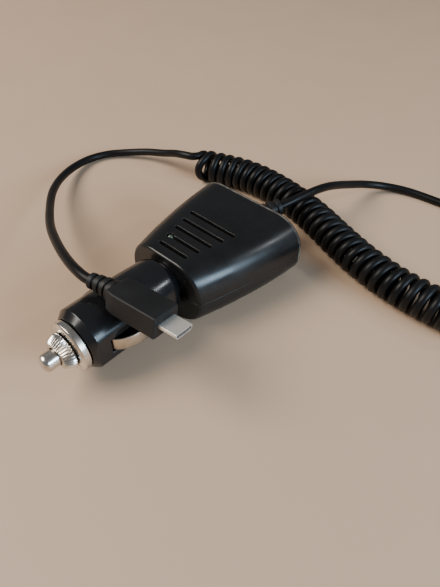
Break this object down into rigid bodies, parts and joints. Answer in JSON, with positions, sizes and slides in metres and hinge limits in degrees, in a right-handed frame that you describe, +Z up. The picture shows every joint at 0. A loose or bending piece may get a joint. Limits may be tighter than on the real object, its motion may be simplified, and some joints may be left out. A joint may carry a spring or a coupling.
{
  "type": "vehicle charger",
  "caption": "Black vehicle-socket charger: sprung centre pin, side contacts, flared slotted case, curly cord ending in a straight micro-USB plug.",
  "frame": {"origin": "centre of the charger's footprint on the table, measured without the cord and the micro-USB plug on it", "axes": "+X along the plug axis from the centre pin towards the cord end, +Z up from the table, +Y to the left seen from the pin looking along +X"},
  "size_m": [0.1695, 0.1888, 0.0319],
  "materials": {
    "black_case": "semi-gloss moulded shell",
    "black_barrel": "glossy moulded barrel",
    "nickel": "bright nickel plate, lightly scratched",
    "brass": "bare brass",
    "glass": "clear tube",
    "board_green": "solder-masked glass laminate",
    "component_black": "moulded component body",
    "led_clear": "clear epoxy lens",
    "cord_rubber": "soft PVC cord jacket, satin",
    "plug_rubber": "moulded PVC, satin"
  },
  "bodies": {
    "charger_body": {"case_top": "black_case", "case_bottom": "black_case", "barrel": "black_barrel", "threaded_insert": "brass", "contact_spring": "nickel", "spring_seat": "brass", "contact_lead_left": "brass", "contact_lead_right": "brass", "circuit_board": "board_green", "converter_chip": "component_black", "inductor": "component_black", "capacitor_in": "component_black", "capacitor_out": "component_black", "diode": "component_black", "led": "led_clear", "case_strain_relief": "plug_rubber", "case_cord": "cord_rubber", "curly_cord": "cord_rubber", "plug_cord": "cord_rubber", "plug_strain_relief": "plug_rubber", "plug_body": "plug_rubber", "plug_shell": "nickel", "plug_tongue": "component_black"},
    "nose_ring": {"nose_ring": "nickel"},
    "nose_nut": {"nose_nut": "nickel"},
    "plunger": {"contact_pin": "nickel", "fuse_cap_front": "nickel", "fuse_glass": "glass", "fuse_cap_rear": "nickel"},
    "side_contact_left": {"side_contact_left": "nickel"},
    "side_contact_right": {"side_contact_right": "nickel"}
  },
  "joints": [
    {"name": "nut_travel", "type": "slide", "parent": "charger_body", "child": "nose_ring", "axis": [-1, 0, 0], "range_m": [0, 0.004]},
    {"name": "nut_turn", "type": "hinge", "parent": "nose_ring", "child": "nose_nut", "pos_m": [-0.03765, 0, 0.0132], "axis": [-1, 0, 0], "range_deg": [0, 1800]},
    {"name": "pin_press", "type": "slide", "parent": "nose_ring", "child": "plunger", "axis": [1, 0, 0], "range_m": [0, 0.003], "stiffness_N_per_m": 600, "springref_m": -0.002, "deforming": ["contact_spring"]},
    {"name": "left_contact_press", "type": "hinge", "parent": "charger_body", "child": "side_contact_left", "pos_m": [-0.00865, 0.0075, 0.0132], "axis": [0, 0, 1], "range_deg": [0, 11], "stiffness_Nm_per_rad": 0.25, "springref_deg": -2.86},
    {"name": "right_contact_press", "type": "hinge", "parent": "charger_body", "child": "side_contact_right", "pos_m": [-0.00865, -0.0075, 0.0132], "axis": [0, 0, -1], "range_deg": [0, 11], "stiffness_Nm_per_rad": 0.25, "springref_deg": -2.86}
  ],
  "couplings": [
    {"joint": "nut_turn", "follows": "nut_travel", "rad_per_m": 7854}
  ]
}
